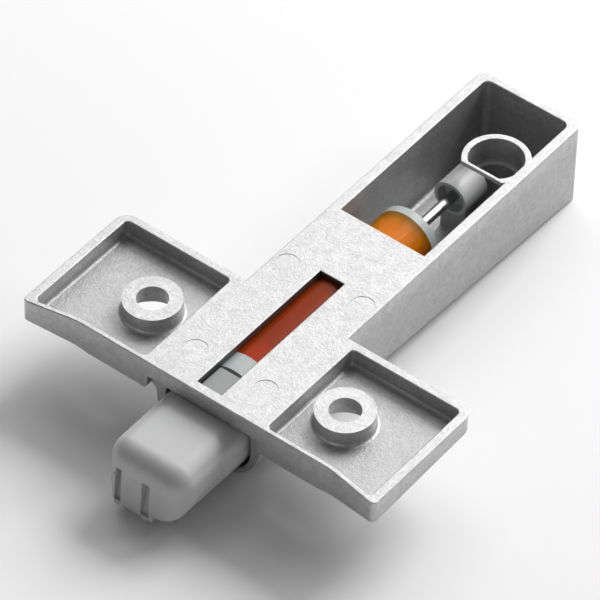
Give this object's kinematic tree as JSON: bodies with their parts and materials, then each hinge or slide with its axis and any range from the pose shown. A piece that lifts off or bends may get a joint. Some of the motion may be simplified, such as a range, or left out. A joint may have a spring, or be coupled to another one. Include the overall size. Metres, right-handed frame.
{
  "type": "soft close damper with cross adapter",
  "caption": "Hydraulic soft close damper for a cabinet door: a spring-returned nose and cylinder slide in a cross-shaped die-cast adapter with screw wings and an open rear box.",
  "frame": {"origin": "midway between the two screw holes, on the flat open side that is screwed against the cabinet", "axes": "+X along the wings, +Y along the bar towards the closed rear end, +Z out of the open mounting side; the nose points to -Y and is pushed in along +Y"},
  "size_m": [0.0582, 0.0848, 0.0136],
  "materials": {
    "zinc_casting": "matt silver, fine cast grain",
    "grey_plastic": "smooth satin",
    "orange_plastic": "smooth, see-through amber",
    "pale_plastic": "smooth",
    "white_plastic": "smooth",
    "seal_rubber": "pale, smooth",
    "closed_foam": "pale dull foam",
    "bright_steel": "ground and bright",
    "spring_steel": "plain spring steel"
  },
  "bodies": {
    "adapter": {"housing": "zinc_casting", "rod_end_fitting": "grey_plastic", "piston_rod": "bright_steel", "piston_front_clip": "spring_steel", "piston_rear_clip": "spring_steel", "piston": "white_plastic", "piston_ring": "white_plastic", "valve_disc": "spring_steel"},
    "plunger": {"nose": "grey_plastic", "damper_tube": "orange_plastic", "front_plug": "pale_plastic", "front_plug_seal": "seal_rubber", "rear_cap": "pale_plastic", "rod_guide": "pale_plastic", "rod_seal": "seal_rubber", "seal_support": "white_plastic", "foam_sleeve": "closed_foam", "baffle_plate": "white_plastic", "spring_seat": "white_plastic", "return_spring": "spring_steel"}
  },
  "joints": [
    {"name": "plunger_slide", "type": "slide", "parent": "adapter", "child": "plunger", "axis": [0, 1, 0], "range_m": [0, 0.007], "stiffness_N_per_m": 300, "springref_m": -0.006, "deforming": ["return_spring"]}
  ]
}
